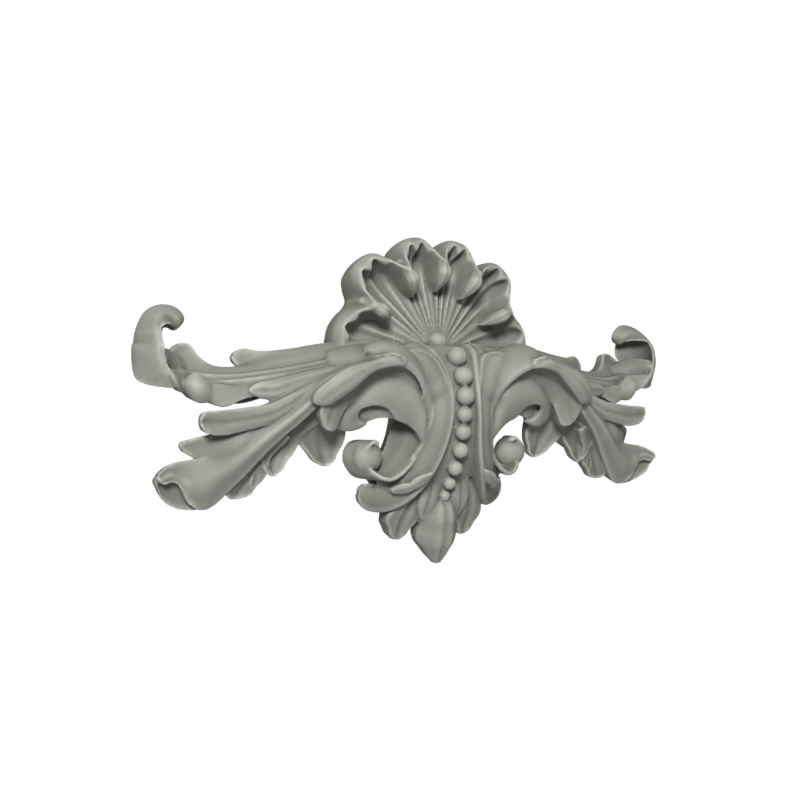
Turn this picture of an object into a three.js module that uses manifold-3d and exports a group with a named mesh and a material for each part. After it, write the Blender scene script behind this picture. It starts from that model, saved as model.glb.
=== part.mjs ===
import * as THREE from "three";
import { mergeVertices } from "three/addons/utils/BufferGeometryUtils.js";
import Module from "manifold-3d";

const wasm = await Module();
wasm.setup();

// Overall sizes in mm: the finished carving is brought to exactly these
const overallWidth = 356;
const overallDepth = 63;
const overallHeight = 192;
const wallThickness = 100;

// Every place below is [out, forward, up] in mm for the right half.
// Out is the distance from the middle plane, forward is the distance in front of the wall, up is height.
// A leaf runs from its root to its tip between a left and a right edge, or along a path with half widths.

// Sizes shared by all leaves
const backOutlineShare = 0.75;
const behindWall = 3;
const tipWidthShare = 0.3;
const pathTipShare = 0.3;
const edgeTipShare = 0.12;
const ribbonEdgeShare = 0.55;
const shortStations = [0, 0.38, 0.7, 0.92, 1];
const longStations = [0, 0.17, 0.34, 0.5, 0.66, 0.83, 0.95, 1];
const shortAcross = [-1, 0, 1];
const longAcross = [-1, -0.5, 0.5, 1];
const toTheWall = 80;

// Directions that a leaf can face
const forwards = [0, 1, 0];
const forwardsAndUp = [0, 0.85, 0.5];
const forwardsAndOut = [0.35, 0.93, 0];
const forwardsAndDown = [0.1, 0.85, -0.5];
const rollingAxis = [-0.42, 0.9, 0];

// Upper arm of the wing: overlapping straps that end in lobes
const upperStraps = {
  ground: {
    left: [[20, 20, 27], [46, 24, 28], [72, 21, 27], [96, 18, 22], [118, 15, 14], [140, 12, 8]],
    right: [[20, 30, 10], [46, 36, 8], [74, 34, 6], [100, 28, 0], [124, 22, -7], [146, 14, -2]],
    depths: [toTheWall],
    crown: [0.3],
  },
  topInner: {
    left: [[26, 22, 29], [48, 25, 29], [70, 21, 27], [92, 19, 23.5], [108, 15, 22], [119, 9, 25]],
    right: [[26, 27, 22], [48, 31, 22], [72, 26, 21], [95, 23, 17], [112, 16, 13], [125, 11, 14]],
    depths: [20, 16, 10],
    crown: [0.5, 0.3, -0.25],
  },
  topOuter: {
    left: [[30, 28, 25], [52, 31, 25], [76, 26, 22], [102, 21, 16], [128, 14, 13], [139, 11, 17], [146, 6, 28]],
    right: [[30, 31, 19], [52, 36, 18], [76, 30, 15], [102, 25, 11], [130, 19, 8], [152, 15, 8], [159, 8, 21]],
    depths: [20, 14, 9],
    crown: [0.5, 0.3, -0.3],
    tip: 0.06,
    long: true,
  },
  toCurl: {
    left: [[34, 34, 22], [56, 37, 21], [78, 32, 17], [104, 27, 12], [130, 21, 9], [149, 17, 11], [170, 15, 16]],
    right: [[34, 40, 14], [56, 43, 12], [80, 38, 8], [106, 33, 3], [130, 27, 0], [147, 22, -1], [168, 22, 5]],
    depths: [24, 18, 12],
    crown: [0.35, 0.3, 0.15],
  },
  lowerOuter: {
    left: [[84, 33, 9], [106, 32, 7], [124, 28, 3], [136, 27, 4], [146, 27, 5], [154, 26, 8]],
    right: [[86, 36, 4], [106, 35, -1], [122, 32, -4], [134, 30, -8.5], [144, 28, -5], [154, 25, -3]],
    depths: [16, 14, 12],
    crown: [0.4, 0.3, 0.7],
  },
  lowerInner: {
    left: [[60, 43, 17], [80, 40, 13], [98, 37, 9], [110, 36, 6], [121, 34, 4]],
    right: [[60, 46, 12], [80, 43, 6], [94, 40, 0], [106, 37, -5], [122, 33, -3]],
    depths: [18, 14, 9],
    crown: [0.4, 0.4, 0.35],
  },
};

// Lower arm of the wing, with the long acanthus blade and its upturned tip
const lowerStraps = {
  ground: {
    left: [[24, 30, 14], [48, 34, 14], [72, 34, 10], [94, 30, -2], [112, 24, -16], [130, 16, -30]],
    right: [[24, 34, -2], [46, 38, -2], [66, 38, -8], [84, 32, -20], [102, 26, -34], [122, 16, -46]],
    depths: [toTheWall, toTheWall, toTheWall, 30, 14],
    crown: [0.3],
  },
  upperInner: {
    left: [[50, 46, 19], [70, 45, 14], [95, 43, 2], [113, 44, -6], [129, 43, -8.5], [140, 43, -9.5], [151, 43, -10]],
    right: [[50, 48, 15], [70, 47, 10], [93, 44, -5], [110, 42, -16], [128, 40, -21], [139, 39, -23], [150, 41, -21]],
    depths: [18, 14, 9],
    crown: [0.4, 0.3, -0.3],
    tip: 0.05,
    long: true,
  },
  upperOuter: {
    left: [[84, 40, 1], [106, 38, -9], [126, 36, -18], [136, 32, -21], [145, 28, -23], [155, 20, -26.5]],
    right: [[85, 42, -4], [106, 38, -20], [124, 36, -31], [133, 32, -34.5], [143, 26, -35.5], [153, 19, -30.5]],
    depths: [16, 12, 7],
    crown: [0.4, 0.2, -0.3],
    tip: 0.06,
  },
  main: {
    left: [[48, 50, 18], [62, 50, 16], [82, 47, 8], [101, 43, -7], [120, 38, -20], [138, 29, -32], [150, 26, -35],
      [158, 26, -36], [164, 28.5, -38], [170, 33, -42.5]],
    right: [[48, 54, 13], [62, 54, 9], [79, 50, 0], [95, 45, -15], [110, 39, -29], [126, 30, -48], [140, 24, -61.5],
      [151, 27, -59], [158, 29, -47.5], [167.5, 32, -47.5]],
    depths: [24, 20, 16, 12, 10, 8],
    crown: [0.5, 0.5, 0.45, 0.2, -0.3],
    tip: 0.03,
    long: true,
  },
  mainUnder: {
    left: [[170, 31, -43.5], [161, 27.5, -42], [152, 25, -49], [144, 24, -57]],
    right: [[169, 30, -48], [165, 26, -56], [156, 23, -61], [146, 24, -62]],
    depths: [7],
    crown: [0.4],
    tip: 0.06,
  },
  lowerOuter: {
    left: [[108, 38, -22], [117, 33, -30], [127, 29, -45], [133, 24, -57]],
    right: [[98, 36, -24], [106, 30, -34], [110, 26, -47], [119, 24, -58]],
    depths: [14, 10, 7],
    crown: [0.3, 0, -0.2],
  },
  lowerMiddle: {
    left: [[96, 40, -8], [103, 36, -15], [112, 33, -26], [115, 30, -36], [108, 28, -46]],
    right: [[84, 38, -8], [87, 33, -16], [90, 29, -26], [95, 28, -36], [103, 28, -46]],
    depths: [14, 10, 7],
    crown: [0.4, 0, -0.3],
  },
  lowerInner: {
    left: [[84, 38, -2], [90, 34, -12], [93, 30, -23], [88, 27, -33], [77, 24.5, -42]],
    right: [[62, 36, 0], [60, 33, -10], [62, 29, -22], [64, 26, -33], [69, 24.5, -42]],
    depths: [16, 10, 7],
    crown: [0.3, 0, -0.3],
  },
};

// Curl at the wing's end: an upright bowl, open towards the middle, whose top rolls over
const endCurl = {
  left: [[163, 6, 17], [161, 4, 20], [159, 3, 23], [158, 3, 26], [158, 3, 30], [158, 4, 33], [157, 5, 34], [156, 6, 30]],
  right: [[158, 31, 2], [162, 32, 9], [165, 32.5, 16], [165.5, 32.5, 23], [166, 30, 30], [164, 25, 35.5],
    [159, 19, 36], [154, 16, 30]],
  depths: [7],
  crown: [-0.9, -0.75, -0.65, -0.6, -0.55, -0.5, -0.4, -0.3],
  ribbon: true,
  long: true,
};

// Leaf that stands out beside the scroll and turns over in front of the arms' root
const hood = {
  left: [[17, 44, -30], [18, 45, -18], [19, 43, -4], [23, 37, 10], [32, 33, 22], [46, 32, 27], [62, 34, 25]],
  right: [[20, 46, -32], [21, 49.5, -20], [22, 51.5, -9], [25, 54, 0], [32, 58, 9], [42, 61, 15], [54, 61, 17]],
  depths: [6],
  crown: [0.1, 0.2, 0.35, 0.35, 0.35],
  ribbon: true,
  long: true,
};
const hoodHollow = {
  left: [[14, 44, 2], [30, 49, 10], [48, 51, 15], [66, 48, 13], [82, 45, 5]],
  right: [[16, 38, -16], [34, 38, -3], [52, 38, 2], [66, 37, -2], [78, 37, -8]],
  depths: [20],
  crown: [-0.2],
};
const armRoot = {
  left: [[24, 28, 27], [44, 31, 27], [62, 32, 25], [78, 30, 21]],
  right: [[30, 46, 12], [46, 50, 13], [62, 48, 11], [76, 42, 8]],
  depths: [toTheWall],
  crown: [0.25],
};
const scrollHollow = {
  left: [[48, 51, 14], [44, 50, 6], [35, 47, -8]],
  right: [[20, 46, 14], [18, 49, 0], [17, 49, -18]],
  depths: [40],
  crown: [-0.15],
};
const knob = {
  left: [[60, 59, 19], [51, 63, 20.5], [43, 62, 18.5]],
  right: [[60, 59, 14.5], [51, 63, 14], [43, 62, 14.5]],
  depths: [26],
  crown: [0.5],
};
const turnover = {
  left: [[46, 60, 18], [54, 62, 19], [64, 61, 16], [78, 60, 12], [87, 58, 6], [97, 53, -3]],
  right: [[44, 61, 13], [50, 62, 13], [62, 61, 10], [73, 59, 1], [81, 56, -5], [88, 52, -10]],
  depths: [9, 8, 7],
  crown: [0.6, 0.5, 0.4],
};
const turnoverFan = {
  left: [[34, 56, 9], [50, 60, 15], [64, 59, 13], [77, 57, 8], [87, 53, -4], [90, 49, -15]],
  right: [[28, 47, 2], [44, 50, 7], [56, 48, 2], [68, 46, -6], [74, 45, -15], [78, 45, -25]],
  depths: [14, 11, 9],
  crown: [-0.2, -0.15, 0.2],
};

// Broad band of the scroll, from its rounded top beside the beads to the small lobe at its foot
const scrollBand = {
  path: [[23, 33, 27], [21, 43, 20], [16.5, 51, 5], [15, 54, -12], [18, 50, -30], [25, 43, -46], [33, 33, -57],
    [42, 24, -60.5], [49, 21, -55]],
  halfWidths: [8, 9, 8.5, 7, 7.5, 9, 10, 11, 9.5],
  tip: 0.18,
  faces: [forwardsAndUp, forwardsAndOut, forwardsAndOut, forwardsAndDown],
  depths: [toTheWall, toTheWall, toTheWall, toTheWall, 16, 9],
  crown: [0.3],
  long: true,
};

// Curls inside the scroll; the width of the lower one lies along its rolling axis
const upperCurl = {
  left: [[22, 49, -20], [25, 51, -9], [31, 50.5, 3], [40, 50, 8], [51, 49.5, 7], [62, 46, 4], [73, 40, -5],
    [76, 36, -15], [69, 34, -22], [58, 35, -21]],
  right: [[24, 46, -30], [28, 48, -24], [34, 48, -19], [41, 47.5, -16], [47, 49, -10], [55, 49, -8], [62, 46, -10],
    [62, 42, -15], [57, 40, -18], [52, 38, -17]],
  depths: [12, 12, 7, 4.5, 4.5],
  crown: [0.25],
  ribbon: true,
  long: true,
};
const upperCurlCore = {
  left: [[40, 46, -2], [48, 44, -3], [60, 42, -3], [70, 38, -8]],
  right: [[40, 45, -16], [48, 43, -15], [58, 38, -18], [68, 34, -19]],
  depths: [7],
  crown: [0.1],
};
const lowerCurl = {
  path: [[22, 38, -4], [24, 35, -20], [29, 32, -37], [40, 30, -48.5], [52, 28, -48], [58.5, 28, -38], [56, 28, -29],
    [50, 28.5, -26.5]],
  halfWidths: [10, 12, 12, 11, 9, 8, 7.5, 6],
  sides: [rollingAxis],
  depths: [4.5],
  crown: [0.15],
  ribbon: true,
  long: true,
};
const lowerCurlEye = { centre: [49.5, 28.5, -37], radius: 9.6, length: 8 };

// Leaves that hang below the scrolls
const pendants = {
  side: {
    left: [[24, 30, -50], [33, 27, -64], [36, 20, -76], [32, 16, -87]],
    right: [[8, 32, -50], [10, 29, -64], [13, 23, -77], [18, 17, -88]],
    depths: [24, 16, 12],
    crown: [0.3, 0.2, 0.1],
    tip: 0.25,
  },
  sideLobe: {
    left: [[16, 34, -50], [17, 32, -62], [16, 27, -73]],
    right: [[3, 34, -50], [5, 32, -64], [9, 28, -77]],
    depths: [12],
    crown: [0.3],
    tip: 0.3,
  },
};
const pendantMiddle = {
  path: [[0, 22, -48], [0, 29, -62], [0, 31, -75], [0, 28, -89], [0, 24.5, -102]],
  halfWidths: [5, 9, 13, 13.5, 8],
  faces: [forwards],
  depths: [toTheWall, 20, 10],
  crown: [0.95],
};

// Body behind the beads
const keel = {
  path: [[0, 22, 27], [0, 34, 24], [0, 47, 10], [0, 50, -12], [0, 44, -36], [0, 33, -56], [0, 27, -70]],
  halfWidths: [22, 20, 15, 14, 15, 14, 8],
  faces: [forwardsAndUp, forwards, forwards, forwardsAndDown],
  depths: [toTheWall],
  crown: [0.1],
  long: true,
};

// String of beads down the middle: forward, up and radius of each
const beads = [
  [24, 29, 5.9],
  [45.4, 20, 5.8],
  [52, 8.5, 5.5],
  [54, -2.8, 5.4],
  [53, -13.3, 4.8],
  [51.6, -23.3, 4.7],
  [49, -33.9, 4.6],
  [43.5, -44.5, 4.4],
  [37.6, -53.7, 3.7],
  [32, -61.1, 3.4],
];
const beadSegments = 7;
const beadRings = 4;

// Shell with three cupped lobes on each side, and folds between them that end in knuckles.
// The profiles are [radius, forward] from the root over the lip to the wall.
// The lobe's last radii are measured inwards from its rim.
const shell = {
  rootUp: 22,
  notchAngles: [0, 27, 60.5, 104],
  notchRadii: [64, 64, 59.5, 58],
  lobeRadii: [70, 73, 68],
  lobe: [[4, 24], [20, 20], [36, 16.5], [50, 13.5]],
  cup: [[14, 14], [10.5, 17], [7.5, 21.5], [5.5, 26], [2.5, 25.5], [0, 20], [1.5, 9], [5, -3]],
  fold: [[4, 24], [20, 21], [34, 18], [42, 21], [44.5, 28], [45, 35], [49, 38], [54, 35], [58, 26], [60, 14],
    [59, 4], [56, -3]],
  foldWidth: 0.19,
  knuckle: [[60, 26], [55, 33], [49, 38], [44, 36]],
  knuckleWidths: [2.5, 3.4, 4.4, 3.8],
  knuckleDepth: 16,
  knuckleCrown: 0.9,
  backRootRadius: 4,
  backInset: 5,
};
const shellColumnShares = [0, 0.18, 0.5, 0.82];
const shellProfileShares = [0, 0.2, 0.36, 0.46, 0.56, 0.68, 0.82, 1];

// A smooth value between values spread evenly along a length
function smoothAlong(values, share) {
  if (values.length === 1) return values[0];
  const place = THREE.MathUtils.clamp(share, 0, 1) * (values.length - 1);
  const start = Math.min(Math.floor(place), values.length - 2);
  const t = place - start;
  const here = values[start];
  const there = values[start + 1];
  const before = values[start - 1] ?? 2 * here - there;
  const after = values[start + 2] ?? 2 * there - here;
  const first = (there - before) * t;
  const second = (2 * before - 5 * here + 4 * there - after) * t ** 2;
  const third = (3 * here - before - 3 * there + after) * t ** 3;
  return 0.5 * (2 * here + first + second + third);
}

function placeAlong(places, share) {
  return new THREE.Vector3(...[0, 1, 2].map((axis) => smoothAlong(places.map((place) => place[axis]), share)));
}

// Closed geometry from rings of equally many points, each end closed by a fan
function ringGeometry(rings) {
  const count = rings[0].length;
  const corners = [];
  const triangle = (a, b, c) => corners.push(...a.toArray(), ...b.toArray(), ...c.toArray());
  for (let row = 0; row < rings.length - 1; row += 1) {
    for (let column = 0; column < count; column += 1) {
      const next = (column + 1) % count;
      triangle(rings[row][column], rings[row + 1][column], rings[row + 1][next]);
      triangle(rings[row][column], rings[row + 1][next], rings[row][next]);
    }
  }
  for (const [ring, turned] of [[rings[0], false], [rings[rings.length - 1], true]]) {
    const middle = new THREE.Vector3();
    ring.forEach((point) => middle.addScaledVector(point, 1 / count));
    for (let column = 0; column < count; column += 1) {
      const next = (column + 1) % count;
      if (turned) triangle(middle, ring[next], ring[column]);
      else triangle(middle, ring[column], ring[next]);
    }
  }
  const geometry = new THREE.BufferGeometry();
  geometry.setAttribute("position", new THREE.Float32BufferAttribute(corners, 3));
  return geometry;
}

// Where a leaf's middle is at a share of its length, and which way it spreads and faces
function leafStation(leaf, share) {
  const step = 0.012;
  const before = Math.max(share - step, 0);
  const after = Math.min(share + step, 1);
  const centre = new THREE.Vector3();
  const side = new THREE.Vector3();
  const run = new THREE.Vector3();
  let halfWidth;
  if (leaf.left) {
    const left = placeAlong(leaf.left, share);
    const right = placeAlong(leaf.right, share);
    centre.addVectors(left, right).multiplyScalar(0.5);
    side.subVectors(left, right);
    run.addVectors(placeAlong(leaf.left, after), placeAlong(leaf.right, after));
    run.sub(placeAlong(leaf.left, before)).sub(placeAlong(leaf.right, before));
    halfWidth = side.length() / 2;
  } else {
    centre.copy(placeAlong(leaf.path, share));
    run.subVectors(placeAlong(leaf.path, after), placeAlong(leaf.path, before)).normalize();
    halfWidth = smoothAlong(leaf.halfWidths, share);
    if (leaf.sides) {
      side.copy(placeAlong(leaf.sides, share));
      side.addScaledVector(run, -side.dot(run));
    } else {
      side.crossVectors(run, placeAlong(leaf.faces, share));
    }
  }
  side.normalize();
  const face = new THREE.Vector3().crossVectors(side, run).normalize();
  const fromTip = (1 - share) / (leaf.tip ?? (leaf.left ? edgeTipShare : pathTipShare));
  const rounding = fromTip < 1 ? Math.sqrt(1 - (1 - fromTip) ** 2) : 1;
  return { centre, side, face, halfWidth: halfWidth * Math.max(rounding, tipWidthShare), rounding };
}

// A leaf is as deep as its depths at right angles to the wall, and a ribbon at right angles to its face
function leafGeometry(leaf) {
  const rings = (leaf.long ? longStations : shortStations).map((share) => {
    const { centre, side, face, halfWidth, rounding } = leafStation(leaf, share);
    const crown = smoothAlong(leaf.crown, share) * halfWidth;
    const depth = smoothAlong(leaf.depths, share) * Math.max(rounding, 0.5);
    const liftAt = (across) => crown * ((leaf.left ? 1 : 0.5) - across ** 2);
    const front = (leaf.long ? longAcross : shortAcross).map((across) =>
      centre.clone().addScaledVector(side, halfWidth * across).addScaledVector(face, liftAt(across)));
    const back = [0.7, -0.7].map((across) => {
      const point = centre.clone();
      if (leaf.ribbon) {
        const edge = 1 - (1 - ribbonEdgeShare) * Math.abs(across);
        point.addScaledVector(side, halfWidth * across).addScaledVector(face, liftAt(across) - depth * edge);
      } else {
        point.addScaledVector(side, halfWidth * across * backOutlineShare).addScaledVector(face, liftAt(across));
        point.y = Math.max(point.y - depth, -behindWall);
      }
      return point;
    });
    return [...front, ...back];
  });
  return ringGeometry(rings);
}

// The shell as one fan of profiles
function shellGeometry() {
  const lobes = shell.lobeRadii.length;
  const oneSide = [];
  for (let lobe = 0; lobe < lobes; lobe += 1) oneSide.push(...shellColumnShares.map((share) => lobe + share));
  const columns = [...oneSide.slice(1).map((place) => -place).reverse(), ...oneSide];
  const rings = [-lobes, ...columns, lobes].map((signed) => {
    const place = Math.abs(signed);
    const lobe = Math.min(Math.floor(place), lobes - 1);
    const across = place - lobe;
    const between = (values) => THREE.MathUtils.lerp(values[lobe], values[lobe + 1], across);
    const angle = THREE.MathUtils.degToRad(between(shell.notchAngles)) * Math.sign(signed);
    const bulge = Math.max(Math.sin(Math.PI * across), 0) ** 0.6;
    const rim = THREE.MathUtils.lerp(between(shell.notchRadii), shell.lobeRadii[lobe], bulge);
    const folded = Math.exp(-((Math.min(across, 1 - across) / shell.foldWidth) ** 2));
    const profile = [...shell.lobe, ...shell.cup.map(([inset, forward]) => [rim - inset, forward])];
    const valueAt = (axis, share) => {
      const cupped = smoothAlong(profile.map((point) => point[axis]), share);
      const creased = smoothAlong(shell.fold.map((point) => point[axis]), share);
      return THREE.MathUtils.lerp(cupped, creased, folded);
    };
    const pointAt = (radius, forward) => {
      const up = shell.rootUp + radius * Math.cos(angle);
      return new THREE.Vector3(radius * Math.sin(angle), forward, up);
    };
    const front = shellProfileShares.map((share) => pointAt(valueAt(0, share), valueAt(1, share)));
    const middleRadius = (rim - shell.backInset + shell.backRootRadius) / 2;
    const back = [middleRadius, shell.backRootRadius].map((radius) => pointAt(radius, -behindWall));
    return [...front, ...back];
  });
  return ringGeometry(rings);
}

// The drop-shaped end of a fold of the shell
function knuckleAt(degrees) {
  const angle = THREE.MathUtils.degToRad(degrees);
  return {
    path: shell.knuckle.map(([radius, forward]) => [
      radius * Math.sin(angle),
      forward,
      shell.rootUp + radius * Math.cos(angle),
    ]),
    halfWidths: shell.knuckleWidths,
    faces: [forwards],
    depths: [shell.knuckleDepth],
    crown: [shell.knuckleCrown],
  };
}

// A closed solid from geometry in [out, forward, up]; side 1 is the right half and -1 the left half
function solidFrom(geometry, side) {
  const bare = geometry.index ? geometry.toNonIndexed() : geometry.clone();
  bare.deleteAttribute("normal");
  bare.deleteAttribute("uv");
  const merged = mergeVertices(bare, 1e-4);
  const position = merged.attributes.position;
  const places = new Float32Array(position.count * 3);
  for (let index = 0; index < position.count; index += 1) {
    places[3 * index] = side * position.getX(index);
    places[3 * index + 1] = -position.getY(index);
    places[3 * index + 2] = position.getZ(index);
  }
  const corners = new Uint32Array(merged.index.array);
  const made = new wasm.Manifold(new wasm.Mesh({ numProp: 3, vertProperties: places, triVerts: corners }));
  if (made.volume() > 0) return made;
  for (let index = 0; index < corners.length; index += 3) {
    [corners[index + 1], corners[index + 2]] = [corners[index + 2], corners[index + 1]];
  }
  return new wasm.Manifold(new wasm.Mesh({ numProp: 3, vertProperties: places, triVerts: corners }));
}

// A ball, or a ball stretched along an axis, as geometry in [out, forward, up]
function ballGeometry(radius, centre, length, axis) {
  const ball = new THREE.SphereGeometry(radius, beadSegments, beadRings);
  if (axis) {
    ball.scale(1, length / radius, 1);
    const turn = new THREE.Quaternion();
    turn.setFromUnitVectors(new THREE.Vector3(0, 1, 0), new THREE.Vector3(...axis).normalize());
    ball.applyQuaternion(turn);
  }
  ball.translate(...centre);
  return ball;
}

const paired = [
  ...Object.values(upperStraps),
  ...Object.values(lowerStraps),
  endCurl,
  ...shell.notchAngles.slice(1, 3).map(knuckleAt),
  hood,
  hoodHollow,
  armRoot,
  scrollHollow,
  knob,
  turnover,
  turnoverFan,
  scrollBand,
  upperCurl,
  upperCurlCore,
  lowerCurl,
  ...Object.values(pendants),
];
const single = [pendantMiddle, keel, knuckleAt(shell.notchAngles[0])];

// Everything joined, then cut flat at the wall
let ornament = solidFrom(shellGeometry(), 1);
for (const leaf of single) ornament = ornament.add(solidFrom(leafGeometry(leaf), 1));
for (const [forward, up, radius] of beads) {
  ornament = ornament.add(solidFrom(ballGeometry(radius, [0, forward, up]), 1));
}
for (const side of [1, -1]) {
  for (const leaf of paired) ornament = ornament.add(solidFrom(leafGeometry(leaf), side));
  const { centre, radius, length } = lowerCurlEye;
  ornament = ornament.add(solidFrom(ballGeometry(radius, centre, length, rollingAxis), side));
}
const wall = new THREE.BoxGeometry(2 * overallWidth, wallThickness, 2 * overallHeight);
wall.translate(0, -wallThickness / 2, 0);
ornament = ornament.subtract(solidFrom(wall, 1));

// Pockets that leaves enclose between them are cast solid, so the outer body is kept without them
const bodies = ornament.decompose();
ornament = bodies.reduce((kept, body) => (body.volume() > kept.volume() ? body : kept));

// The carving as joined is brought to the overall sizes
const { min: low, max: high } = ornament.boundingBox();
ornament = ornament.scale([
  overallWidth / (high[0] - low[0]),
  overallDepth / (high[1] - low[1]),
  overallHeight / (high[2] - low[2]),
]);

const made = ornament.getMesh();
const places = new Float32Array(made.numVert * 3);
for (let index = 0; index < made.numVert; index += 1) {
  const start = index * made.numProp;
  places.set(made.vertProperties.subarray(start, start + 3), index * 3);
}
const ornamentGeometry = new THREE.BufferGeometry();
ornamentGeometry.setAttribute("position", new THREE.BufferAttribute(places, 3));
ornamentGeometry.setIndex(new THREE.BufferAttribute(new Uint32Array(made.triVerts), 1));
ornamentGeometry.computeVertexNormals();

const castResin = new THREE.MeshStandardMaterial({ color: "#8c8e87", roughness: 0.62, metalness: 0 });
const ornamentMesh = new THREE.Mesh(ornamentGeometry, castResin);
ornamentMesh.name = "carved_ornament";

const root = new THREE.Group();
root.add(ornamentMesh);

export default root;
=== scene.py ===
import math

import bmesh
import bpy
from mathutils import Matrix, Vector


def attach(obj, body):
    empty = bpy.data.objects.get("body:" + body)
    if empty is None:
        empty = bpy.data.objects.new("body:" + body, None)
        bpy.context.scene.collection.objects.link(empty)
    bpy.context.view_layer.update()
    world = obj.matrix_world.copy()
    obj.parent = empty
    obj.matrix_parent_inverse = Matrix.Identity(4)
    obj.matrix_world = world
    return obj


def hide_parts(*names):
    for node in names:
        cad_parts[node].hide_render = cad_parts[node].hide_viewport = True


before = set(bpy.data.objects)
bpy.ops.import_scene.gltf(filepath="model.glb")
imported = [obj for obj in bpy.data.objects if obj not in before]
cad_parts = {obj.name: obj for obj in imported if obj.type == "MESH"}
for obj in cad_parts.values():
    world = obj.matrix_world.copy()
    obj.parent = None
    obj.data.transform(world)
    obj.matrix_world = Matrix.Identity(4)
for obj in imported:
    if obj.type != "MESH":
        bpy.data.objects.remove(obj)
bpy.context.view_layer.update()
print("frame loaded")

# Everything is modelled in mm on the right half and mirrored at the end. A place is how far out from the middle
# plane, how far forward from the wall, and how high.
forwards = (0, 1, 0)
forwardsAndUp = (0, 0.85, 0.5)
forwardsAndOut = (0.35, 0.93, 0)
forwardsAndDown = (0.1, 0.85, -0.5)
rollingAxis = (-0.42, 0.9, 0)
toTheWall = 80
behindWall = 3

# How finely it is carved, melted and thinned
carving = dict(longRows=90, shortRows=36, columns=26, ballRounds=4, voxel=0.7, smoothing=6, triangles=190000,
               cutWithin=0.001, mergeWithin=0.01)

# A leaf lies between a left and a right edge, or along a path with half widths. Its lists run from root to tip:
# depths is how thick it is, and crown how far its middle stands out as a share of its half width. Groove, rims and
# fluteDepth are relief in mm, lobes and notches scallop the edge, and tip is the share of its length that rounds
# off. A ribbon's back follows its face. All leaves share these values, as shares of the length or the half width.
leafForm = dict(backOutline=0.75, ribbonEdge=0.55, tipWidth=0.3, thinnestTip=0.5, roundedTip=0.3, roundedEdge=0.12,
                pathRise=0.5, grooveWidth=0.22, rimPlace=0.86, rimWidth=0.16, rimSink=0.5, notchSharpness=4,
                step=0.012)


def smoothAlong(values, share):
    # a smooth value between values spread evenly along a length
    if len(values) == 1:
        return values[0]
    place = min(max(share, 0), 1) * (len(values) - 1)
    start = min(int(place), len(values) - 2)
    t = place - start
    here, there = values[start], values[start + 1]
    before = values[start - 1] if start > 0 else 2 * here - there
    after = values[start + 2] if start + 2 < len(values) else 2 * there - here
    return 0.5 * (2 * here + (there - before) * t + (2 * before - 5 * here + 4 * there - after) * t * t
                  + (3 * here - before - 3 * there + after) * t ** 3)


def placeAlong(places, share):
    return Vector([smoothAlong([place[axis] for place in places], share) for axis in range(3)])


def closedSheet(bm, rows, columns):
    # a grid made a closed slab: each of its vertices, and whether it is on the front
    made = bmesh.ops.create_grid(bm, x_segments=rows, y_segments=columns, size=1)
    faces = list(dict.fromkeys(face for vert in made["verts"] for face in vert.link_faces))
    lifted = bmesh.ops.extrude_face_region(bm, geom=faces, use_keep_orig=True)
    front = [item for item in lifted["geom"] if isinstance(item, bmesh.types.BMVert)]
    return [(vert, True) for vert in front] + [(vert, False) for vert in made["verts"]]


def leafStation(leaf, share):
    # where a leaf's middle is at this share of its length, which way it spreads and faces, its width and fullness
    before, after = max(share - leafForm["step"], 0), min(share + leafForm["step"], 1)
    if "left" in leaf:
        left, right = placeAlong(leaf["left"], share), placeAlong(leaf["right"], share)
        centre, side = (left + right) / 2, left - right
        run = placeAlong(leaf["left"], after) + placeAlong(leaf["right"], after)
        run -= placeAlong(leaf["left"], before) + placeAlong(leaf["right"], before)
        halfWidth = side.length / 2
    else:
        centre = placeAlong(leaf["path"], share)
        run = placeAlong(leaf["path"], after) - placeAlong(leaf["path"], before)
        halfWidth = smoothAlong(leaf["halfWidths"], share)
        if "sides" in leaf:
            side = placeAlong(leaf["sides"], share)
            side -= run * side.dot(run) / run.length_squared
        else:
            side = run.cross(placeAlong(leaf["faces"], share))
    side.normalize()
    face = side.cross(run).normalized()
    if "lobes" in leaf:
        notch = abs(math.cos(math.pi * leaf["lobes"] * share)) ** leafForm["notchSharpness"]
        halfWidth *= 1 - leaf["notches"] * notch
    fromTip = (1 - share) / leaf.get("tip", leafForm["roundedEdge" if "left" in leaf else "roundedTip"])
    rounding = math.sqrt(max(1 - (1 - fromTip) ** 2, 0)) if fromTip < 1 else 1
    return centre, side, face, halfWidth * max(rounding, leafForm["tipWidth"]), rounding


def leafRelief(leaf, share, across, halfWidth, rounding):
    # how far the face stands out across a leaf: its crown, flutes, middle groove and raised rims
    rise = 1 if "left" in leaf else leafForm["pathRise"]
    lift = smoothAlong(leaf["crown"], share) * halfWidth * (rise - across ** 2)
    if "flutes" in leaf:
        lift += leaf["fluteDepth"] / 2 * rounding * math.cos(math.pi * leaf["flutes"] * across)
    if "groove" in leaf:
        lift -= leaf["groove"] * rounding * math.exp(-(across / leafForm["grooveWidth"]) ** 2)
    if "rims" in leaf:
        fromRim = (abs(across) - leafForm["rimPlace"]) / leafForm["rimWidth"]
        lift += leaf["rims"] * (math.exp(-fromRim ** 2) - leafForm["rimSink"])
    return lift


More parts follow.
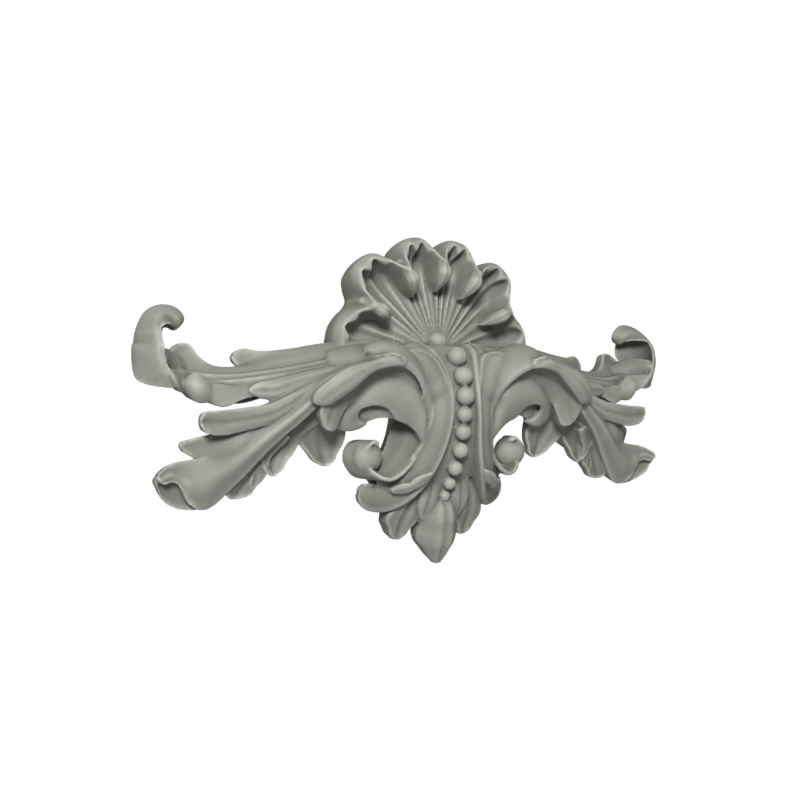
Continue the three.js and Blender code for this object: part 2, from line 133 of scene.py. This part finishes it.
def carveLeaf(bm, leaf):
    rows = carving["longRows" if "long" in leaf else "shortRows"]
    stations = {}
    for vert, isFront in closedSheet(bm, rows, carving["columns"]):
        row = round((vert.co.x + 1) / 2 * rows)
        if row not in stations:
            stations[row] = leafStation(leaf, row / rows)
        centre, side, face, halfWidth, rounding = stations[row]
        across = vert.co.y
        lift = leafRelief(leaf, row / rows, across, halfWidth, rounding)
        if isFront:
            vert.co = centre + side * halfWidth * across + face * lift
            continue
        depth = smoothAlong(leaf["depths"], row / rows) * max(rounding, leafForm["thinnestTip"])
        if "ribbon" in leaf:
            edge = 1 - (1 - leafForm["ribbonEdge"]) * abs(across)
            vert.co = centre + side * halfWidth * across + face * (lift - depth * edge)
        else:
            vert.co = centre + side * halfWidth * across * leafForm["backOutline"] + face * lift
            vert.co.y = max(vert.co.y - depth, -behindWall)


def carveBall(bm, radius, centre, length=None, axis=(0, 0, 1)):
    turn = Vector((0, 0, 1)).rotation_difference(Vector(axis)).to_matrix().to_4x4()
    made = bmesh.ops.create_icosphere(bm, subdivisions=carving["ballRounds"], radius=radius)
    bmesh.ops.scale(bm, vec=(1, 1, (length or radius) / radius), verts=made["verts"])
    bmesh.ops.transform(bm, matrix=turn, verts=made["verts"])
    bmesh.ops.translate(bm, vec=centre, verts=made["verts"])


# The right half: all its forms overlap, and are melted together further down
half = bmesh.new()

# The shell: three cupped lobes on each side with ruffled lips, and folds between them that end in knuckles.
# Its profiles are radius and forward, from the root over the lip to the wall, and the cup's radii are measured
# inwards from the lobe's rim. The other places along a profile and across a lobe are shares.
shell = dict(
    rootUp=22, rootRadius=4, backInset=5, pastMiddle=0.3,
    notchAngles=[0, 27, 60.5, 104], notchRadii=[64, 64, 59.5, 57], lobeRadii=[70, 73, 67.5], lobeRoundness=0.6,
    inner=[(4, 24), (20, 20), (36, 16.5), (50, 13.5)],
    cup=[(14, 14), (10.5, 17), (7.5, 21.5), (5.5, 26), (2.5, 25.5), (0, 20), (1.5, 9), (5, -3)],
    fold=[(4, 24), (20, 21), (34, 18), (42, 20), (44.5, 25), (46, 31), (50, 35), (55, 34), (58, 26), (60, 14),
          (59, 4), (56, -3)],
    foldWidth=0.155, flutes=4, fluteDepth=3.2, fluteEnd=0.35, fluteFade=0.6, turnUp=0.12,
    ruffles=4, ruffleDepth=2.6, ruffleStart=0.22, ruffleLength=0.12, columnsPerLobe=36, rows=70)
knuckle = dict(
    profile=[(60, 26), (54, 32), (48, 35), (42, 31), (37, 24)],
    leaf=dict(halfWidths=[2.5, 3.4, 4.2, 3.6, 2], faces=[forwards], depths=[18, 14], crown=[0.9], groove=1))


def shellPlace(radius, forward, degrees):
    angle = math.radians(degrees)
    return radius * math.sin(angle), forward, shell["rootUp"] + radius * math.cos(angle)


def carveShell(bm):
    lobes = len(shell["lobeRadii"])
    columns = round((lobes + shell["pastMiddle"]) * shell["columnsPerLobe"])
    innerShare = len(shell["inner"]) / (len(shell["fold"]) - 1)
    for vert, isFront in closedSheet(bm, columns, shell["rows"]):
        place = (vert.co.x + 1) / 2 * (lobes + shell["pastMiddle"]) - shell["pastMiddle"]
        share = (vert.co.y + 1) / 2
        lobe = min(int(abs(place)), lobes - 1)
        across = abs(place) - lobe
        notchAngle, nextAngle = shell["notchAngles"][lobe:lobe + 2]
        notch, nextNotch = shell["notchRadii"][lobe:lobe + 2]
        degrees = math.copysign(notchAngle + (nextAngle - notchAngle) * across, place)
        rim = notch + (nextNotch - notch) * across
        rim += (shell["lobeRadii"][lobe] - rim) * max(math.sin(math.pi * across), 0) ** shell["lobeRoundness"]
        if not isFront:
            backLength = rim - shell["backInset"] - shell["rootRadius"]
            vert.co = shellPlace(shell["rootRadius"] + backLength * share, -behindWall, degrees)
            continue
        profile = shell["inner"] + [(rim - inset, forward) for inset, forward in shell["cup"]]
        folded = math.exp(-(min(across, 1 - across) / shell["foldWidth"]) ** 2)
        radius, forward = [
            smoothAlong([point[axis] for point in profile], share) * (1 - folded)
            + smoothAlong([point[axis] for point in shell["fold"]], share) * folded for axis in (0, 1)]
        fromLip = (share - innerShare - shell["ruffleStart"]) / shell["ruffleLength"]
        ruffle = shell["ruffleDepth"] / 2 * math.cos(2 * math.pi * shell["ruffles"] * across)
        radius -= ruffle * math.exp(-fromLip ** 2) * (1 - folded)
        grooved = math.sin(math.pi * min(share / (innerShare + shell["fluteEnd"]), 1)) ** shell["fluteFade"]
        flute = shell["fluteDepth"] / 2 * grooved * math.cos(2 * math.pi * shell["flutes"] * across) * (1 - folded)
        upright = min(max((share - innerShare) / shell["turnUp"], 0), 1)
        vert.co = shellPlace(radius - flute * upright, forward + flute * (1 - upright), degrees)


carveShell(half)
for degrees in shell["notchAngles"][:3]:
    path = [shellPlace(radius, forward, degrees) for radius, forward in knuckle["profile"]]
    carveLeaf(half, dict(knuckle["leaf"], path=path))
print("shell carved")

# The straps of a wing: each runs from the root beside the scroll out to its own tip
upperStraps = dict(
    ground=dict(
        left=[(20, 20, 27), (46, 24, 28), (72, 21, 27), (96, 18, 22), (118, 15, 14), (140, 12, 8)],
        right=[(20, 30, 10), (46, 36, 8), (74, 34, 6), (100, 28, 0), (124, 22, -7), (146, 14, -2)],
        depths=[toTheWall], crown=[0.3], long=True),
    topInner=dict(
        left=[(26, 22, 29), (48, 25, 29), (70, 21, 27), (92, 19, 23.5), (108, 15, 22), (119, 9, 25)],
        right=[(26, 27, 22), (48, 31, 22), (72, 26, 21), (95, 23, 17), (112, 16, 13), (125, 11, 14)],
        depths=[20, 16, 10], crown=[0.5, 0.3, -0.25], long=True),
    topOuter=dict(
        left=[(30, 28, 25), (52, 31, 25), (76, 26, 22), (102, 21, 16), (128, 14, 13), (139, 11, 17), (146, 6, 28)],
        right=[(30, 31, 19), (52, 36, 18), (76, 30, 15), (102, 25, 11), (130, 19, 8), (152, 15, 8), (159, 8, 21)],
        depths=[20, 14, 9], crown=[0.5, 0.3, -0.3], tip=0.06, long=True),
    toCurl=dict(
        left=[(34, 34, 22), (56, 37, 21), (78, 32, 17), (104, 27, 12), (130, 21, 9), (149, 17, 11), (170, 15, 16)],
        right=[(34, 40, 14), (56, 43, 12), (80, 38, 8), (106, 33, 3), (130, 27, 0), (147, 22, -1), (168, 22, 5)],
        depths=[24, 18, 12], crown=[0.35, 0.3, 0.15], flutes=2.5, fluteDepth=1.3, long=True),
    lowerOuter=dict(
        left=[(84, 33, 9), (106, 32, 7), (124, 28, 3), (136, 27, 4), (146, 27, 5), (154, 26, 8)],
        right=[(86, 36, 4), (106, 35, -1), (122, 32, -4), (134, 30, -8.5), (144, 28, -5), (154, 25, -3)],
        depths=[16, 14, 12], crown=[0.4, 0.2, 0.4], long=True),
    lowerBud=dict(
        left=[(141, 28, 5), (147, 28, 9.5), (153, 27, 9.5)], right=[(141, 29, -6), (148, 29, -6), (156, 26, 0)],
        depths=[14], crown=[0.3, 0.6, 0.7], tip=0.4),
    lowerInner=dict(
        left=[(60, 43, 17), (80, 40, 13), (98, 37, 9), (110, 36, 6), (121, 34, 4)],
        right=[(60, 46, 12), (80, 43, 6), (94, 40, 0), (106, 37, -5), (122, 33, -3)],
        depths=[18, 14, 9], crown=[0.4, 0.4, 0.35], groove=0.9, long=True))
lowerStraps = dict(
    ground=dict(
        left=[(24, 30, 14), (48, 34, 14), (72, 34, 10), (94, 30, -2), (112, 24, -16), (130, 16, -30)],
        right=[(24, 34, -2), (46, 38, -2), (66, 38, -8), (84, 32, -20), (102, 26, -34), (122, 16, -46)],
        depths=[toTheWall, toTheWall, toTheWall, 30, 14], crown=[0.3], long=True),
    upperInner=dict(
        left=[(50, 46, 19), (70, 45, 14), (95, 43, 2), (113, 44, -6), (129, 43, -8.5), (140, 43, -9.5),
              (151, 43, -10)],
        right=[(50, 48, 15), (70, 47, 10), (93, 44, -5), (110, 42, -16), (128, 40, -21), (139, 39, -23),
               (150, 41, -21)],
        depths=[18, 14, 9], crown=[0.4, 0.3, -0.2], groove=0.8, tip=0.06, long=True),
    upperOuter=dict(
        left=[(84, 40, 1), (106, 38, -9), (126, 36, -18), (136, 32, -21), (145, 28, -23), (155, 20, -26.5)],
        right=[(85, 42, -4), (106, 38, -20), (124, 36, -31), (134, 32, -34.5), (146, 25, -35.5), (154, 19.5, -31)],
        depths=[16, 12, 7], crown=[0.4, 0.2, -0.3], tip=0.06, long=True),
    main=dict(
        left=[(48, 50, 18), (62, 50, 16), (82, 47, 8), (101, 43, -7), (120, 38, -20), (138, 29, -32),
              (150, 26, -35), (158, 26, -36), (164, 28.5, -38), (170, 33, -42.5)],
        right=[(48, 54, 13), (62, 54, 9), (79, 50, 0), (95, 45, -15), (110, 39, -29), (126, 30, -48),
               (140, 24, -61.5), (151, 27, -59), (158, 29, -47.5), (167.5, 32, -47.5)],
        depths=[24, 20, 16, 12, 10, 8], crown=[0.5, 0.5, 0.45, 0.2, -0.3], flutes=1.5, fluteDepth=1.4,
        tip=0.03, long=True),
    mainUnder=dict(
        left=[(170, 31, -43.5), (161, 27.5, -42), (152, 25, -49), (144, 24, -57)],
        right=[(169, 30, -48), (165, 26, -56), (156, 23, -61), (146, 24, -62)],
        depths=[7], crown=[0.4], tip=0.06),
    lowerOuter=dict(
        left=[(108, 38, -22), (117, 33, -30), (127, 29, -45), (133, 24, -57)],
        right=[(98, 36, -24), (106, 30, -34), (110, 26, -47), (119, 24, -58)],
        depths=[14, 10, 7], crown=[0.3, 0, -0.2], groove=1.2, rims=0.8, lobes=2.5, notches=0.14),
    lowerOuterSide=dict(
        left=[(100, 36, -20), (108, 31, -32), (117, 27, -44), (118, 25, -53)],
        right=[(104, 34, -24), (109, 29, -34), (112, 27, -42), (114, 26, -50)],
        depths=[12, 9, 6], crown=[0.3, 0, -0.1], groove=0.8, rims=0.8),
    lowerMiddle=dict(
        left=[(96, 35, -5), (103, 35, -15), (112, 33, -26), (115, 30, -36), (108, 28, -46)],
        right=[(84, 31, -5), (87, 32, -16), (90, 29, -26), (95, 28, -36), (103, 28, -46)],
        depths=[14, 10, 7], crown=[0.4, 0, -0.3], groove=1.4, rims=1, lobes=2.5, notches=0.14),
    lowerInner=dict(
        left=[(84, 38, -2), (90, 34, -12), (93, 30, -23), (88, 27, -33), (77, 24.5, -42)],
        right=[(62, 36, 0), (60, 33, -10), (62, 29, -22), (64, 26, -33), (69, 24.5, -42)],
        depths=[16, 10, 7], crown=[0.3, 0, -0.3], groove=1.8, rims=1, lobes=2.5, notches=0.14))
for leaf in [*upperStraps.values(), *lowerStraps.values()]:
    carveLeaf(half, leaf)
print("straps carved")

# The curl at the wing's end: an upright bowl, open towards the middle, whose top rolls over, with petals in it
endCurl = dict(
    bowl=dict(
        left=[(163, 6, 17), (161, 4, 20), (159, 3, 23), (158, 3, 26), (158, 3, 30), (158, 4, 33), (157, 5, 34),
              (156.5, 6, 31)],
        right=[(157, 29, 2), (161.5, 32, 9), (165, 32.5, 16), (165.5, 32.5, 23), (166, 30, 30), (164, 25, 35.5),
               (159, 19, 36), (155, 16, 31)],
        depths=[7], crown=[-0.75, -0.68, -0.62, -0.6, -0.55, -0.5, -0.4, -0.3], ribbon=True, long=True),
    roll=dict(
        left=[(156, 8, 33), (160, 6, 35), (165, 8, 35.5)], right=[(155, 15, 33), (160, 24, 34), (167, 31, 33)],
        depths=[6], crown=[0.3]),
    lowPetal=dict(
        left=[(146, 15, 10), (157, 25, 11), (166, 33, 12)], right=[(147, 20, 0), (155, 25, -1), (160, 32, 3)],
        depths=[14, 9], crown=[0.3]),
    highPetal=dict(
        left=[(150, 9, 17), (160, 18, 22), (167, 32, 21)], right=[(150, 13, 9), (160, 22, 11), (167, 33, 11)],
        depths=[14, 9], crown=[0.3]))
for leaf in endCurl.values():
    carveLeaf(half, leaf)
print("end curl carved")

# The leaf that stands out beside the scroll and turns over in front of the arms' root
turnedLeaf = dict(
    hood=dict(
        left=[(17, 44, -30), (18, 45, -18), (19, 43, -4), (23, 37, 10), (32, 33, 22), (46, 32, 27), (62, 34, 25)],
        right=[(20, 46, -32), (21, 49.5, -20), (22, 51.5, -9), (25, 54, 0), (32, 58, 9), (42, 61, 15), (54, 61, 17)],
        depths=[6], crown=[0.1, 0.2, 0.35, 0.35, 0.35], ribbon=True, long=True),
    hoodHollow=dict(
        left=[(14, 44, 2), (30, 49, 10), (48, 51, 15), (66, 48, 13), (82, 45, 5)],
        right=[(16, 38, -16), (34, 38, -3), (52, 38, 2), (66, 37, -2), (78, 37, -8)],
        depths=[20], crown=[-0.2], long=True),
    armRoot=dict(
        left=[(24, 28, 27), (44, 31, 27), (62, 32, 25), (78, 30, 21)],
        right=[(30, 46, 12), (46, 50, 13), (62, 48, 11), (76, 42, 8)],
        depths=[toTheWall], crown=[0.25], long=True),
    scrollHollow=dict(
        left=[(48, 51, 14), (44, 50, 6), (35, 47, -8)], right=[(20, 46, 14), (18, 49, 0), (17, 49, -18)],
        depths=[40], crown=[-0.15]),
    knob=dict(
        left=[(60, 59, 19), (51, 63, 20.5), (43, 62, 18.5)], right=[(60, 59, 14.5), (51, 63, 14), (43, 62, 14.5)],
        depths=[26], crown=[0.5], rims=0.9),
    turnover=dict(
        left=[(46, 60, 18), (54, 62, 19), (64, 61, 16), (78, 60, 12), (87, 58, 6), (97, 53, -3)],
        right=[(44, 61, 13), (50, 62, 13), (62, 61, 10), (73, 59, 1), (81, 56, -5), (88, 52, -10)],
        depths=[9, 8, 7], crown=[0.6, 0.5, 0.4], groove=0.6, long=True),
    turnoverFan=dict(
        left=[(30, 56.5, 8), (50, 60, 15), (64, 59, 13), (77, 57, 8), (87, 53, -4), (90, 49, -15)],
        right=[(22, 49, -3), (44, 50, 7), (56, 48, 2), (68, 46, -6), (74, 45, -15), (78, 45, -25)],
        depths=[14, 11, 9], crown=[-0.2, -0.15, 0.2], groove=0.7, long=True))
for leaf in turnedLeaf.values():
    carveLeaf(half, leaf)
print("turned leaf carved")

# The scroll: its broad outer band with a small leaf on it, and the curls inside
scroll = dict(
    band=dict(
        path=[(23, 33, 27), (21, 43, 20), (16.5, 51, 5), (15, 54, -12), (18, 50, -30), (25, 43, -46), (33, 33, -57),
              (42, 24, -60.5), (49, 21, -55)],
        halfWidths=[8, 9, 8.5, 7, 7.5, 9, 10, 11, 9.5],
        faces=[forwardsAndUp, forwardsAndOut, forwardsAndOut, forwardsAndDown],
        depths=[toTheWall, toTheWall, toTheWall, toTheWall, 16, 9], crown=[0.3], rims=1.6, tip=0.18, long=True),
    bandEnd=dict(
        left=[(10, 48, -16), (9, 53, 0), (12, 50, 12), (17, 45, 21), (27, 43, 26)],
        right=[(19, 45, -18), (23.5, 51, -4), (26, 52.5, 4), (31, 52.5, 12), (38, 51, 19)],
        depths=[24], crown=[0.3], rims=1.6, tip=0.35),
    bandLeaf=dict(
        path=[(37, 36, -57), (28, 43, -54), (18, 49, -46)], halfWidths=[3, 4.4, 2.6], faces=[forwardsAndDown],
        depths=[6], crown=[0.5], groove=0.8, lobes=2, notches=0.25),
    upperCurl=dict(
        left=[(22, 49, -20), (25, 51, -9), (31, 50.5, 3), (40, 50, 8), (51, 49.5, 7), (62, 46, 4), (73, 40, -5),
              (76, 36, -15), (69, 34, -22), (58, 35, -21)],
        right=[(24, 46, -30), (28, 48, -24), (34, 48, -19), (41, 47.5, -16), (47, 49, -10), (55, 49, -8),
               (62, 46, -10), (62, 42, -15), (57, 40, -18), (52, 38, -17)],
        depths=[12, 12, 7, 4.5, 4.5], crown=[0.25], ribbon=True, long=True),
    upperCurlCore=dict(
        left=[(40, 46, -2), (48, 44, -3), (60, 42, -3), (70, 38, -8)],
        right=[(40, 45, -16), (48, 43, -15), (58, 38, -18), (68, 34, -19)],
        depths=[7], crown=[0.1]),
    lowerCurl=dict(
        path=[(22, 38, -4), (24, 35, -20), (29, 32, -37), (40, 30, -48.5), (51.5, 28, -48), (58.5, 28, -39),
              (56.5, 28, -31), (50, 28.5, -28), (44, 29, -31)],
        halfWidths=[10, 12, 12, 11, 9, 8, 8, 8, 7], sides=[rollingAxis],
        depths=[4.5], crown=[0.15], tip=0.05, ribbon=True, long=True))
lowerCurlEye = dict(centre=(49.5, 28.5, -37), radius=9.5, length=8)
for leaf in scroll.values():
    carveLeaf(half, leaf)
carveBall(half, lowerCurlEye["radius"], lowerCurlEye["centre"], lowerCurlEye["length"], rollingAxis)
print("scroll carved")

# The leaves that hang at the bottom
pendants = dict(
    side=dict(
        left=[(24, 30, -50), (31, 27, -64), (33, 20, -76), (29, 16, -87)],
        right=[(8, 32, -50), (10, 29, -64), (13, 23, -77), (18, 17, -88)],
        depths=[24, 16, 12], crown=[0.3, 0.2, 0.1], groove=2, rims=1, tip=0.25, lobes=2.5, notches=0.22),
    sideLobe=dict(
        left=[(16, 34, -50), (17, 32, -62), (16, 27, -73)], right=[(3, 34, -50), (5, 32, -64), (9, 28, -77)],
        depths=[12], crown=[0.3], groove=1, rims=0.6, tip=0.3),
    middle=dict(
        path=[(0, 22, -48), (0, 29, -62), (0, 31, -75), (0, 28, -89), (0, 24.5, -102)],
        halfWidths=[5, 9, 13, 13.5, 8], faces=[forwards],
        depths=[toTheWall, 20, 10], crown=[0.95], groove=2, rims=0.8, lobes=3.5, notches=0.09))
for leaf in pendants.values():
    carveLeaf(half, leaf)
print("pendants carved")

# The keel behind the beads, and the beads as forward, up and radius
keel = dict(
    path=[(0, 22, 27), (0, 34, 24), (0, 47, 10), (0, 50, -12), (0, 44, -36), (0, 33, -56), (0, 27, -70)],
    halfWidths=[22, 20, 15, 14, 15, 18, 12], faces=[forwardsAndUp, forwards, forwards, forwardsAndDown],
    depths=[toTheWall], crown=[0.1], long=True)
beadString = [(24, 29, 5.9), (45.4, 20, 5.8), (52, 8.5, 5.5), (54, -2.8, 5.4), (53, -13.3, 4.8),
              (51.6, -23.3, 4.7), (49, -33.9, 4.6), (43.5, -44.5, 4.4), (37.6, -53.7, 3.7), (32, -61.1, 3.4)]
carveLeaf(half, keel)
for forward, up, radius in beadString:
    carveBall(half, radius, (0, forward, up))
print("beads carved")

# Out of the wall is -Y in the frame
bmesh.ops.scale(half, vec=(1, -1, 1), verts=half.verts)
bmesh.ops.recalc_face_normals(half, faces=half.faces)
ornamentMesh = bpy.data.meshes.new("castOrnament")
half.to_mesh(ornamentMesh)
half.free()
ornament = bpy.data.objects.new("castOrnament", ornamentMesh)
bpy.context.scene.collection.objects.link(ornament)
print("right half joined:", len(ornamentMesh.polygons), "faces")


def finished(piece):
    # the mesh with its modifiers made real
    shown = piece.evaluated_get(bpy.context.evaluated_depsgraph_get())
    mesh = bpy.data.meshes.new_from_object(shown)
    piece.modifiers.clear()
    piece.data = mesh
    return mesh


# Melted into one casting, then thinned to half of all the triangles; a melted face counts as two
melt = ornament.modifiers.new("melt", "REMESH")
melt.mode = "VOXEL"
melt.voxel_size = carving["voxel"]
soften = ornament.modifiers.new("soften", "SMOOTH")
soften.factor = 0.5
soften.iterations = carving["smoothing"]
ornamentMesh = finished(ornament)
print("melted:", len(ornamentMesh.polygons), "faces")
thin = ornament.modifiers.new("thin", "DECIMATE")
thin.ratio = min(1, carving["triangles"] / 2 / (2 * len(ornamentMesh.polygons)))
ornamentMesh = finished(ornament)
print("thinned:", len(ornamentMesh.polygons), "faces")

# Flat back, then the left half as the mirror image, in metres
whole = bmesh.new()
whole.from_mesh(ornamentMesh)
for vert in whole.verts:
    vert.co.y = min(vert.co.y, 0)
bmesh.ops.bisect_plane(whole, geom=whole.verts[:] + whole.edges[:] + whole.faces[:], dist=carving["cutWithin"],
                       plane_co=(0, 0, 0), plane_no=(1, 0, 0), clear_inner=True)
bmesh.ops.mirror(whole, geom=whole.verts[:] + whole.edges[:] + whole.faces[:], axis="X",
                 merge_dist=carving["mergeWithin"])
bmesh.ops.scale(whole, vec=(0.001, 0.001, 0.001), verts=whole.verts)
bmesh.ops.triangulate(whole, faces=whole.faces)
bmesh.ops.recalc_face_normals(whole, faces=whole.faces)
for face in whole.faces:
    face.smooth = True
whole.to_mesh(ornamentMesh)
whole.free()
print("mirrored:", len(ornamentMesh.polygons), "faces")


def linearColour(hexCode):
    # sRGB hex to the linear values that the shader wants
    parts = [int(hexCode[i:i + 2], 16) / 255 for i in (1, 3, 5)]
    return [*[part / 12.92 if part < 0.04045 else ((part + 0.055) / 1.055) ** 2.4 for part in parts], 1]


def addNode(tree, kind, settings=None, links=None):
    # one node with its settings, and its inputs linked to other nodes' outputs
    node = tree.nodes.new(kind)
    for name, value in (settings or {}).items():
        if isinstance(name, int) or name in node.inputs:
            node.inputs[name].default_value = value
        else:
            setattr(node, name, value)
    for name, output in (links or {}).items():
        tree.links.new(output, node.inputs[name])
    return node


# Colours with the pointiness at which each one is reached, and sizes in metres. The recess colour is painted shade
# and the ridge colour a painted highlight.
primer = dict(paintedRecessShade="#5f615a", paintedRecessShadeAt=0.47, face="#82847b", faceAt=0.52, paintedRidgeHighlight="#b4b6ac", paintedRidgeHighlightAt=0.58,
              roughness=0.62, patchSize=0.03, patchShift=0.04, grainSize=0.0006, grainHeight=0.0002, grainBump=0.04)


def primedResin():
    # Cast polyurethane under a sprayed matt primer: even and soft, with a painted highlight on ridges and painted
    # shade in the recesses, and the faint grain of spray
    material = bpy.data.materials.new("primedResin")
    material.use_nodes = True
    tree = material.node_tree
    shader = tree.nodes["Principled BSDF"]
    where = addNode(tree, "ShaderNodeTexCoord").outputs["Object"]
    # Pointiness drives painted shade in the recesses and a painted highlight on ridges
    pointinessForPaintedLight = addNode(tree, "ShaderNodeNewGeometry").outputs["Pointiness"]
    patches = addNode(tree, "ShaderNodeTexNoise", {"Scale": 1 / primer["patchSize"], "Detail": 4}, {"Vector": where})
    patchesAndPaintedLight = addNode(tree, "ShaderNodeMath", {"operation": "MULTIPLY_ADD", 1: primer["patchShift"]},
                    {0: patches.outputs["Fac"], 2: pointinessForPaintedLight})
    patchesAndPaintedLightRamp = addNode(tree, "ShaderNodeValToRGB", {}, {"Fac": patchesAndPaintedLight.outputs[0]})
    # The darkest colour, at low pointiness, is painted shade in the recesses
    patchesAndPaintedLightRamp.color_ramp.elements[0].position = primer["paintedRecessShadeAt"]
    patchesAndPaintedLightRamp.color_ramp.elements[0].color = linearColour(primer["paintedRecessShade"])
    # The palest colour, at high pointiness, is a painted highlight on ridges
    patchesAndPaintedLightRamp.color_ramp.elements[1].position = primer["paintedRidgeHighlightAt"]
    patchesAndPaintedLightRamp.color_ramp.elements[1].color = linearColour(primer["paintedRidgeHighlight"])
    middle = patchesAndPaintedLightRamp.color_ramp.elements.new(primer["faceAt"])
    middle.color = linearColour(primer["face"])
    tree.links.new(patchesAndPaintedLightRamp.outputs["Color"], shader.inputs["Base Color"])
    grain = addNode(tree, "ShaderNodeTexNoise", {"Scale": 1 / primer["grainSize"], "Detail": 2}, {"Vector": where})
    bump = addNode(tree, "ShaderNodeBump", {"Strength": primer["grainBump"], "Distance": primer["grainHeight"]},
                   {"Height": grain.outputs["Fac"]})
    tree.links.new(bump.outputs["Normal"], shader.inputs["Normal"])
    shader.inputs["Roughness"].default_value = primer["roughness"]
    return material


ornament.data.materials.clear()
ornament.data.materials.append(primedResin())
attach(ornament, "root")
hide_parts("carved_ornament")
print("primer on")

# Pale studio: a floor well below, white surroundings, soft lamps, and the camera that the picture was taken with.
# The picture's size and the height of its horizon are in pixels.
studio = dict(floorBelow=1.2, floorSize=3, floorColour="#f6f6f6", floorRoughness=0.9, floorGlow=0.2, white="#ffffff",
              fill=0.13, cameraDistance=0.5935, cameraTurn=30, cameraShift=0.010, fieldOfView=45, nearest=0.01,
              picture=800, horizon=391)
lamps = dict(keyLamp=dict(place=(-0.55, -0.9, 0.42), size=0.3, watts=14),
             sideLamp=dict(place=(0.9, -0.7, 0.35), size=0.6, watts=2))

floorBuild = bmesh.new()
bmesh.ops.create_grid(floorBuild, x_segments=1, y_segments=1, size=studio["floorSize"] / 2)
bmesh.ops.translate(floorBuild, vec=(0, 0, -studio["floorBelow"]), verts=floorBuild.verts)
floorMesh = bpy.data.meshes.new("floor")
floorBuild.to_mesh(floorMesh)
floorBuild.free()
floor = bpy.data.objects.new("floor", floorMesh)
bpy.context.scene.collection.objects.link(floor)
floorPaint = bpy.data.materials.new("floorPaint")
floorPaint.use_nodes = True
paintShader = floorPaint.node_tree.nodes["Principled BSDF"]
paintShader.inputs["Base Color"].default_value = linearColour(studio["floorColour"])
paintShader.inputs["Roughness"].default_value = studio["floorRoughness"]
paintShader.inputs["Emission Color"].default_value = linearColour(studio["white"])
paintShader.inputs["Emission Strength"].default_value = studio["floorGlow"]
floorMesh.materials.append(floorPaint)

surroundings = bpy.data.worlds.new("surroundings")
surroundings.use_nodes = True
bpy.context.scene.world = surroundings
sky = surroundings.node_tree
backdrop = sky.nodes["Background"]
backdrop.inputs["Color"].default_value = linearColour(studio["white"])
fill = addNode(sky, "ShaderNodeBackground", {"Color": linearColour(studio["white"]), "Strength": studio["fill"]})
seen = addNode(sky, "ShaderNodeLightPath").outputs["Is Camera Ray"]
blend = addNode(sky, "ShaderNodeMixShader", {}, {0: seen, 1: fill.outputs[0], 2: backdrop.outputs[0]})
sky.links.new(blend.outputs[0], sky.nodes["World Output"].inputs["Surface"])

for name, setting in lamps.items():
    lamp = bpy.data.lights.new(name, "AREA")
    lamp.shape = "DISK"
    lamp.size = setting["size"]
    lamp.energy = setting["watts"]
    holder = bpy.data.objects.new(name, lamp)
    holder.location = setting["place"]
    holder.rotation_euler = (-Vector(setting["place"])).to_track_quat("-Z", "Y").to_euler()
    bpy.context.scene.collection.objects.link(holder)

turn = math.radians(studio["cameraTurn"])
lens = bpy.data.cameras.new("camera")
lens.angle = math.radians(studio["fieldOfView"])
lens.shift_y = (studio["horizon"] - studio["picture"] / 2) / studio["picture"]
lens.clip_start = studio["nearest"]
camera = bpy.data.objects.new("camera", lens)
back = Vector((-math.sin(turn), -math.cos(turn), 0))
across = Vector((math.cos(turn), -math.sin(turn), 0))
camera.location = back * studio["cameraDistance"] - across * studio["cameraShift"]
camera.rotation_euler = (math.pi / 2, 0, -turn)
bpy.context.scene.collection.objects.link(camera)
bpy.context.scene.camera = camera
bpy.context.scene.view_settings.view_transform = "Standard"
print("studio set")
